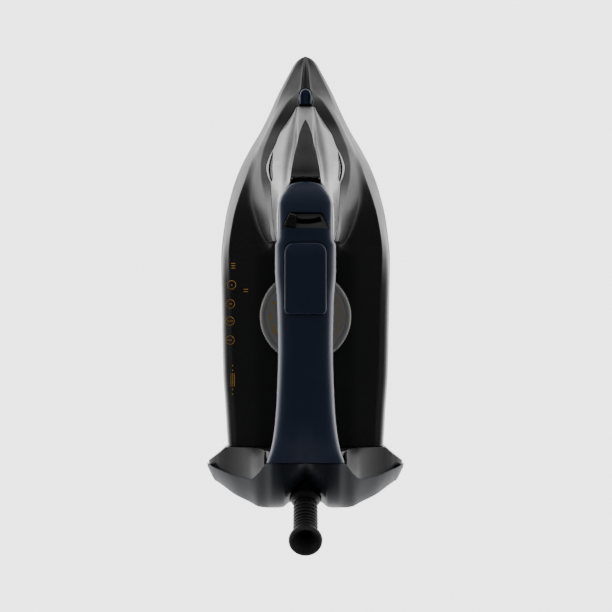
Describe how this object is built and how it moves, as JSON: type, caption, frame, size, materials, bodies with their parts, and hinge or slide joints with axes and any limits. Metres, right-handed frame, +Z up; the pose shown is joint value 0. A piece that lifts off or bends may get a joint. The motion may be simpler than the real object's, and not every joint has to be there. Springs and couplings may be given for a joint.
{
  "type": "steam iron",
  "caption": "Corded steam iron with a coated soleplate, temperature dial, closed handle, steam lever, rocker button, filler door and flared heel.",
  "frame": {"origin": "on the ironing face, under the axis of the temperature dial", "axes": "+Y towards the nose, +Z up through the handle, +X to the right seen from above with the nose ahead"},
  "size_m": [0.1244, 0.3116, 0.131],
  "materials": {
    "soleplate": "glazed ceramic coating",
    "black_plastic": "fine satin",
    "navy_plastic": "gloss",
    "silver_paint": "satin metallic paint",
    "grey_plastic": "satin",
    "cast_aluminium": "as cast",
    "steel": "drawn",
    "brass": "turned",
    "smoked_plastic": "clear gloss, smoked",
    "red_plastic": "gloss",
    "black_rubber": "matt"
  },
  "bodies": {
    "shell": {"soleplate": "soleplate", "sole_casting": "cast_aluminium", "heating_element": "steel", "steam_chamber_cover": "steel", "thermostat": "steel", "thermal_fuse": "brass", "heat_skirt": "black_plastic", "body_housing": "black_plastic", "front_trim": "silver_paint", "tank_window_right": "smoked_plastic", "tank_window_left": "smoked_plastic", "door_pin": "steel", "nozzle_housing": "navy_plastic", "spray_nozzle": "brass", "spray_tube": "black_rubber", "water_tank": "smoked_plastic", "inlet_sleeve": "red_plastic", "handle_cover": "navy_plastic", "handle_grip": "navy_plastic", "lever_scale": "grey_plastic", "rocker_pin": "steel", "pump_block": "black_plastic", "front_spring": "steel", "rear_spring": "steel", "heel_base": "black_plastic", "heel_cape": "grey_plastic", "swivel_collar": "black_plastic", "terminal_block": "black_plastic", "lead_right": "black_rubber", "lead_left": "black_rubber", "heel_screw_right": "steel", "heel_screw_left": "steel", "chamber_screw_1": "steel", "chamber_screw_2": "steel", "chamber_screw_3": "steel", "chamber_screw_4": "steel"},
    "dial": {"temperature_dial": "grey_plastic", "thermostat_spindle": "steel"},
    "lever": {"steam_lever": "black_plastic"},
    "valve_rod": {"steam_valve_rod": "grey_plastic"},
    "button": {"rocker_button": "navy_plastic"},
    "front_pump": {"front_plunger": "grey_plastic"},
    "rear_pump": {"rear_plunger": "grey_plastic"},
    "door": {"filler_door": "smoked_plastic"},
    "cord_guard": {"strain_relief": "black_rubber"}
  },
  "joints": [
    {"name": "dial_turn", "type": "hinge", "parent": "shell", "child": "dial", "pos_m": [0, 0, 0.05], "axis": [0, 0, 1], "range_deg": [-135, 135]},
    {"name": "lever_swing", "type": "hinge", "parent": "shell", "child": "lever", "pos_m": [0, 0.08321, 0.11202], "axis": [0, 0.3584, 0.9336], "range_deg": [0, 34]},
    {"name": "valve_rod_slide", "type": "slide", "parent": "shell", "child": "valve_rod", "axis": [0, 0, -1], "range_m": [0, 0.0012]},
    {"name": "button_rock", "type": "hinge", "parent": "shell", "child": "button", "pos_m": [0, 0.02, 0.121], "axis": [1, 0, 0], "range_deg": [-3.5, 3.5], "stiffness_Nm_per_rad": 2},
    {"name": "front_pump_slide", "type": "slide", "parent": "shell", "child": "front_pump", "axis": [0, 0, 1], "range_m": [-0.0011, 0.0011], "deforming": ["front_spring"]},
    {"name": "rear_pump_slide", "type": "slide", "parent": "shell", "child": "rear_pump", "axis": [0, 0, 1], "range_m": [-0.0011, 0.0011], "deforming": ["rear_spring"]},
    {"name": "door_open", "type": "hinge", "parent": "shell", "child": "door", "pos_m": [0, 0.0834, 0.1029], "axis": [1, 0, 0], "range_deg": [0, 55]},
    {"name": "cord_swivel", "type": "hinge", "parent": "shell", "child": "cord_guard", "pos_m": [0, -0.1073, 0.082], "axis": [0, -0.8387, 0.5446], "range_deg": [-60, 60]}
  ],
  "couplings": [
    {"joint": "valve_rod_slide", "follows": "lever_swing", "m_per_rad": 0.0017},
    {"joint": "front_pump_slide", "follows": "button_rock", "m_per_rad": 0.016},
    {"joint": "rear_pump_slide", "follows": "button_rock", "m_per_rad": -0.016}
  ]
}
